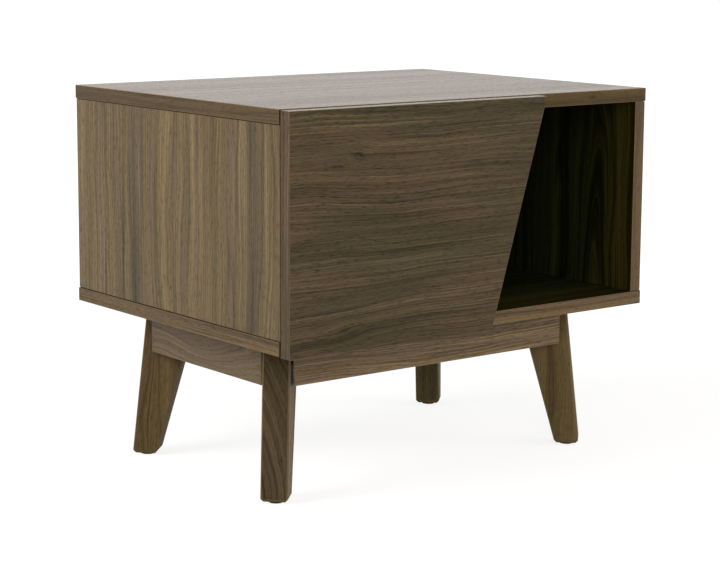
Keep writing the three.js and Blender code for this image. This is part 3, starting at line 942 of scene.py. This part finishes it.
# A strip of the front left leg is painted nearly black as the shade in the slit by the apron.
leg_slit_shade = ((DIAGONAL, -DIAGONAL, 0), (-1, apron_low.y, apron_low.z), (1, 1, 1))
leg_choices = {
    "front_left": dict(
        sheet="falling",
        tint=(1.55, 1.64, 1.85),
        band_tint=(0.52, 0.545, 0.52),
        bands=1.25,
        streaks=0.9,
        fine=1.2,
        veins=-1.0,
        pitch=50.0,
        arch=0.42,
        core=(-0.02, across + 0.045, 0),
        knots=[((0.056, across - 0.0095, 0), (0.007, 0.004, 1), 0.6, 0.6)],
        seam_shades=[leg_slit_shade],
    ),
    "front_right": dict(sheet="rising", tint=(1.62, 1.78, 1.70), band_tint=(0.7, 0.66, 0.68)),
    "back_right": dict(sheet="falling", tint=(1.35, 1.5, 1.4), band_tint=(0.64, 0.69, 0.72)),
    "back_left": dict(sheet="rising", tint=(1.18, 1.26, 1.34), band_tint=(0.95, 0.92, 0.8)),
}
for number, (corner, choices) in enumerate(leg_choices.items()):
    name = "leg_" + corner
    made = walnut(
        name,
        "leg",
        grain="z",
        end_grain="x",
        slice_at=FIRST_LEG_SLICE + LEG_STEP * number,
        turn=45,
        specular=0.012,
        **(LEG_WOOD | choices),
    )
    finish_node(name, made)
print("legs:", len(leg_choices))

# %% [markdown]
# ## The drawer box
#
# The box is pale plywood. Its faces are a plain light veneer, and its edges show the
# plies, thin sheets with the grain turned in each, so they alternate light and dark
# across the thickness of the wall. The direction across the wall is given for each piece.
# The two cleats under the case are cut from the same plywood.

# %% Group: plywood
ply, start, end = new_group(
    "ply_edges",
    [
        ("Across wall", VECTOR, (1, 0, 0)),
        ("Ply thickness", FLOAT, 0.0017),
    ],
    [("Edge", FLOAT), ("Dark ply", FLOAT)],
)
where = ply.nodes.new("ShaderNodeTexCoord").outputs
lean = along_vectors(ply, "DOT_PRODUCT", where["Normal"], start["Across wall"])
facing = calc(ply, "ABSOLUTE", lean)
depth = along_vectors(ply, "DOT_PRODUCT", where["Object"], start["Across wall"])
wobble = noise(ply, where["Object"], (20.0, 20.0, 20.0), detail=1.0)
counted = calc(ply, "DIVIDE", depth, start["Ply thickness"])
counted = calc(ply, "ADD", counted, swing(ply, wobble, 0.4))
stripe = calc(ply, "PINGPONG", counted, 1.0)
connect(ply, fade(ply, facing, 0.3, 0.6, 1.0, 0.0), end["Edge"])
connect(ply, fade(ply, stripe, 0.4, 0.6), end["Dark ply"])
print("group:", ply.name)

# %% Drawer box and cleats
PLY_RELIEF = 0.0002


def plywood(name, grain, across_wall):
    """A plywood material, with the plies stacked along the direction across the wall."""
    material, tree, shader = new_material(name)
    face = place_group(tree, laid, Grain=AXES[grain], End_grain=AXES["z"], Slice=1.0)
    wood = place_group(
        tree, figure, Place=face["Place"], Wander=0.02, Bands=0.5, Streaks=0.6, Veins=-0.05
    )
    look = place_group(
        tree,
        stained,
        Tone=wood["Tone"],
        Patch=wood["Patch"],
        Pore=wood["Pore"],
        Dark=(0.42, 0.30, 0.17, 1),
        Body=(0.54, 0.41, 0.25, 1),
        Light=(0.63, 0.50, 0.33, 1),
        Patch_colour=(0.93, 0.93, 0.93, 1),
        Pore_depth=0.15,
        Gloss_roughness=0.5,
    )
    plies = place_group(tree, ply, Across_wall=AXES[across_wall])
    darker = mixed(tree, 1.0, look["Colour"], (0.55, 0.47, 0.38, 1), blend="MULTIPLY")
    shown = calc(tree, "MULTIPLY", plies["Edge"], plies["Dark ply"])
    connect(tree, mixed(tree, shown, look["Colour"], darker), shader.inputs["Base Color"])
    connect(tree, look["Roughness"], shader.inputs["Roughness"])
    shader.inputs["Specular IOR Level"].default_value = 0.3
    add_relief(tree, shader, look["Height"], 0.4, PLY_RELIEF)
    return material


plywood_pieces = {
    "drawer_side_left": ("y", "x"),
    "drawer_side_right": ("y", "x"),
    "drawer_box_front": ("x", "y"),
    "drawer_box_back": ("x", "y"),
    "drawer_floor": ("x", "z"),
    "cleat_front": ("x", "y"),
    "cleat_back": ("x", "y"),
}
for name, (grain, across_wall) in plywood_pieces.items():
    finish_node(name, plywood(name, grain, across_wall))
print("plywood pieces:", len(plywood_pieces))

# %% [markdown]
# ## Metal, plastic and rubber
#
# The runners, brackets, bolts and screws are steel with a thin zinc coat. Zinc is bluish
# and slightly blotchy, and it dulls unevenly, so its roughness and colour both come from
# noise. The glides are moulded black plastic with a fine grain, and the bumpers are clear
# rubber, which is a soft grey here because they only show as thin dots.

# %% Zinc, plastic and rubber
SPECKLES_PER_BLOTCH = 12


def plain_material(name, colour, spread, roughness, metal, scale, bump_depth, specular=0.5):
    """A material of one colour that varies by a spread, in blotches and fine speckles."""
    material, tree, shader = new_material(name)
    where = tree.nodes.new("ShaderNodeTexCoord").outputs["Object"]
    blotch = noise(tree, where, (scale,) * 3, detail=3.0)
    speckle = noise(tree, where, (scale * SPECKLES_PER_BLOTCH,) * 3, detail=2.0)
    low = tuple(v * (1 - spread) for v in colour) + (1,)
    high = tuple(min(1.0, v * (1 + spread)) for v in colour) + (1,)
    shown = mixed(tree, fade(tree, blotch, 0.35, 0.65), low, high)
    connect(tree, shown, shader.inputs["Base Color"])
    rough = fade(tree, speckle, 0.3, 0.7, roughness - 0.06, roughness + 0.08)
    connect(tree, rough, shader.inputs["Roughness"])
    shader.inputs["Metallic"].default_value = metal
    shader.inputs["Specular IOR Level"].default_value = specular
    add_relief(tree, shader, speckle, 0.4, bump_depth)
    return material


zinc = plain_material(
    "zinc_plated_steel",
    colour=(0.56, 0.57, 0.58),
    spread=0.12,
    roughness=0.34,
    metal=1.0,
    scale=60.0,
    bump_depth=0.00005,
)
plastic = plain_material(
    "black_plastic",
    colour=(0.010, 0.010, 0.010),
    spread=0.2,
    roughness=0.55,
    metal=0.0,
    scale=300.0,
    bump_depth=0.00008,
    specular=0.2,
)
rubber = plain_material(
    "clear_rubber",
    colour=(0.42, 0.42, 0.40),
    spread=0.06,
    roughness=0.35,
    metal=0.0,
    scale=200.0,
    bump_depth=0.00005,
)
METAL_NAMES = ("runner_", "bracket_", "hanger_bolt_", "nut_", "drawer_front_screw_")
for name in nodes:
    if name.startswith(METAL_NAMES):
        finish_node(name, zinc)
    elif name.startswith("glide_"):
        finish_node(name, plastic)
    elif name.startswith("bumper_"):
        finish_node(name, rubber)
print("plain materials:", zinc.name, plastic.name, rubber.name)

# %% [markdown]
# ## The small screws
#
# Four pan-head screws hold each corner bracket to its two aprons. The cleats are screwed
# up into the case and sideways into the aprons, and three screws hold the back panel to
# the divider. A pan head is a short disc with a rounded rim and a cross-shaped recess, so
# one is made as by hand: the rim of a cylinder is bevelled, and two crossed bars are cut
# out of it. Only the heads show, so the shanks are left out.

# %% One pan-head screw
HEAD_RADIUS = 0.0035
HEAD_HEIGHT = 0.0020
RIM_BEVEL = 0.0011
RECESS = (0.0042, 0.0009, 0.0022)


def select_only(piece):
    """Selects one piece and nothing else."""
    bpy.ops.object.select_all(action="DESELECT")
    piece.select_set(True)
    bpy.context.view_layer.objects.active = piece


def pan_head():
    """A screw head that stands on the origin and points up."""
    bpy.ops.object.select_all(action="DESELECT")
    middle = (0, 0, HEAD_HEIGHT / 2)
    bpy.ops.mesh.primitive_cylinder_add(
        vertices=24, radius=HEAD_RADIUS, depth=HEAD_HEIGHT, location=middle
    )
    head = bpy.context.object
    bpy.ops.object.transform_apply(location=True, rotation=False, scale=False)
    bpy.ops.object.mode_set(mode="EDIT")
    bpy.ops.mesh.select_mode(type="VERT")
    bpy.ops.mesh.select_all(action="DESELECT")
    bpy.ops.object.mode_set(mode="OBJECT")
    for corner in head.data.vertices:
        corner.select = corner.co.z > HEAD_HEIGHT * 0.9
    bpy.ops.object.mode_set(mode="EDIT")
    bpy.ops.mesh.bevel(offset=RIM_BEVEL, segments=3, affect="EDGES")
    bpy.ops.object.mode_set(mode="OBJECT")
    long, wide, deep = RECESS
    for size in ((long, wide, deep), (wide, long, deep)):
        bpy.ops.mesh.primitive_cube_add(size=1, location=(0, 0, HEAD_HEIGHT), scale=size)
        bar = bpy.context.object
        select_only(head)
        recess = head.modifiers.new("recess", "BOOLEAN")
        recess.operation = "DIFFERENCE"
        recess.solver = "EXACT"
        recess.object = bar
        bpy.ops.object.modifier_apply(modifier=recess.name)
        bpy.data.objects.remove(bar)
    bpy.ops.object.shade_smooth_by_angle(angle=math.radians(40))
    head.data.materials.clear()
    head.data.materials.append(zinc)
    return head


first_head = pan_head()
print("screw head:", len(first_head.data.polygons), "faces")

# %% [markdown]
# ## Placing the screws
#
# The places come from the boxes of the CAD parts that the screws hold. A bracket's two
# flanges are its ends farthest from the leg, and each lies on one apron. Every copy gets
# its own mesh, and its recess is turned a little, as screws stop at any angle.

# %% Screws on brackets, cleats and back panel
FLANGE_MIDDLE = 0.011
BRACKET_STEEL = 0.002
SCREW_SPREAD = 0.010
CLEAT_SCREWS_UP = (-0.09, 0.0, 0.09)
CLEAT_SCREWS_SIDEWAYS = (-0.05, 0.05)
BACK_SCREW_HEIGHTS = (0.12, 0.5, 0.88)
STOP_ANGLE = 0.7
screws = []


def drive_screw(name, place, direction):
    """A copy of the first head, on a surface that faces along direction."""
    head = first_head.copy()
    head.data = first_head.data.copy()
    head.name = name
    bpy.context.scene.collection.objects.link(head)
    turn = Matrix.Rotation(STOP_ANGLE * len(screws), 3, "Z").to_quaternion()
    facing = Vector(direction).to_track_quat("Z", "Y") @ turn
    head.location = place
    head.rotation_euler = facing.to_euler()
    select_only(head)
    bpy.ops.object.transform_apply(location=True, rotation=True, scale=True)
    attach(head, "carcass")
    screws.append(head)


for end, end_sign in (("front", -1), ("back", 1)):
    for side, side_sign in (("left", -1), ("right", 1)):
        corner = end + "_" + side
        low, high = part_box("bracket_" + corner)
        left_side, front_end = side_sign < 0, end_sign < 0
        outer_x, inner_x = (low.x, high.x) if left_side else (high.x, low.x)
        outer_y, inner_y = (low.y, high.y) if front_end else (high.y, low.y)
        middle = (low.z + high.z) / 2
        for number, level in enumerate((middle - SCREW_SPREAD, middle + SCREW_SPREAD)):
            on_x = inner_x + side_sign * FLANGE_MIDDLE, outer_y - end_sign * BRACKET_STEEL
            on_y = outer_x - side_sign * BRACKET_STEEL, inner_y + end_sign * FLANGE_MIDDLE
            first, second = number + 1, number + 3
            drive_screw(f"bracket_screw_{corner}_{first}", (*on_x, level), (0, -end_sign, 0))
            drive_screw(f"bracket_screw_{corner}_{second}", (*on_y, level), (-side_sign, 0, 0))
    low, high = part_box("cleat_" + end)
    middle = (low + high) / 2
    for number, x in enumerate(CLEAT_SCREWS_UP):
        drive_screw(f"cleat_screw_{end}_{number + 1}", (x, middle.y, low.z), (0, 0, -1))
    face = high.y if end_sign < 0 else low.y
    for number, x in enumerate(CLEAT_SCREWS_SIDEWAYS):
        drive_screw(f"cleat_screw_{end}_{number + 4}", (x, face, middle.z), (0, -end_sign, 0))
low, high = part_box("back_panel")
for number, share in enumerate(BACK_SCREW_HEIGHTS):
    place = (0, high.y, low.z + share * (high.z - low.z))
    drive_screw(f"back_panel_screw_{number + 1}", place, (0, 1, 0))
bpy.data.objects.remove(first_head)
print("screws:", len(screws))

# %% [markdown]
# ## The studio
#
# The floor is a wide pale disc, and the room round it is white. A camera ray, or a ray
# mirrored in lacquer or steel, sees both as white, but they give the table only a soft
# plain light. The floor keeps part of its true shading, so that the table's shadow stays.
# From below, the floor is clear, so that the underside can be looked at.

# %% Floor
FLOOR_RADIUS = 30.0
FLOOR_GREY = (0.6, 0.6, 0.6, 1)
FLOOR_WHITE = 0.82
FLOOR_SHADOW_SHARE = 0.28
PLAIN_BETWEEN = (0.6, 2.2)
bpy.ops.object.select_all(action="DESELECT")
bpy.ops.mesh.primitive_circle_add(vertices=64, radius=FLOOR_RADIUS, fill_type="NGON")
floor = bpy.context.object
floor.name = "studio_floor"


def seen_by_eye(tree):
    """1 for rays from the camera and rays mirrored or passed on by a piece."""
    rays = tree.nodes.new("ShaderNodeLightPath").outputs
    seen = calc(tree, "MAXIMUM", rays["Is Camera Ray"], rays["Is Glossy Ray"])
    return calc(tree, "MAXIMUM", seen, rays["Is Transmission Ray"])


floor_material, tree, shader = new_material("studio_floor")
tree.nodes.remove(shader)
matt = add(tree, "BsdfDiffuse", FLOOR_GREY).outputs[0]
matt_seen = add(tree, "BsdfDiffuse", (FLOOR_SHADOW_SHARE,) * 3 + (1,)).outputs[0]
spot = tree.nodes.new("ShaderNodeTexCoord").outputs["Object"]
away = add(tree, "VectorMath", spot, operation="LENGTH").outputs["Value"]
white = fade(tree, away, *PLAIN_BETWEEN, FLOOR_WHITE, 1.0)
glow = add(tree, "Emission", (1, 1, 1, 1), white).outputs[0]
shown = add(tree, "AddShader", matt_seen, glow).outputs[0]
top_side = add(tree, "MixShader", seen_by_eye(tree), matt, shown).outputs[0]
clear = tree.nodes.new("ShaderNodeBsdfTransparent").outputs[0]
below = tree.nodes.new("ShaderNodeNewGeometry").outputs["Backfacing"]
whole = add(tree, "MixShader", below, top_side, clear).outputs[0]
connect(tree, whole, tree.nodes["Material Output"].inputs["Surface"])
floor.data.materials.append(floor_material)
print("floor:", 2 * FLOOR_RADIUS, "m across")

# %% Room
ROOM_LIGHT = 0.42
world = bpy.data.worlds.new("studio_room")
bpy.context.scene.world = world
world.use_nodes = True
tree = world.node_tree
background = tree.nodes["Background"]
background.inputs["Color"].default_value = (1, 1, 1, 1)
strength = fade(tree, seen_by_eye(tree), 0.0, 1.0, ROOM_LIGHT, 1.0)
connect(tree, strength, background.inputs["Strength"])
print("room light:", ROOM_LIGHT)

# %% [markdown]
# ## The lamps
#
# One large soft lamp stands to the left of the table and above it, so the left side is
# the brightest upright face and the cubby stays in shadow. A weaker one in front lifts
# the drawer front, and a faint one on the right keeps the far faces of the legs brown.
# All are big, because a big lamp gives soft shadows.


# %% Lamps
LAMP_TARGET = (0, 0, 0.3)


def soft_lamp(name, place, side, watts, colour):
    """A square lamp that shines at the middle of the table and shows in no mirror."""
    data = bpy.data.lights.new(name, "AREA")
    data.color = colour
    data.shape = "RECTANGLE"
    data.size = side
    data.size_y = side
    data.energy = watts
    lamp = bpy.data.objects.new(name, data)
    lamp.visible_glossy = False
    bpy.context.scene.collection.objects.link(lamp)
    lamp.location = place
    aim = Vector(LAMP_TARGET) - Vector(place)
    lamp.rotation_euler = aim.to_track_quat("-Z", "Y").to_euler()


soft_lamp("lamp_left", (-4.4, 0.9, 2.4), side=2.8, watts=184, colour=(1, 0.985, 0.97))
soft_lamp("lamp_front", (-2.6, -3.8, 1.7), side=2.4, watts=110, colour=(1, 0.95, 0.84))
soft_lamp("lamp_right", (3.2, -3.0, 1.5), side=2.0, watts=62, colour=(1, 0.93, 0.76))
scene = bpy.context.scene
scene.view_settings.view_transform = "Standard"
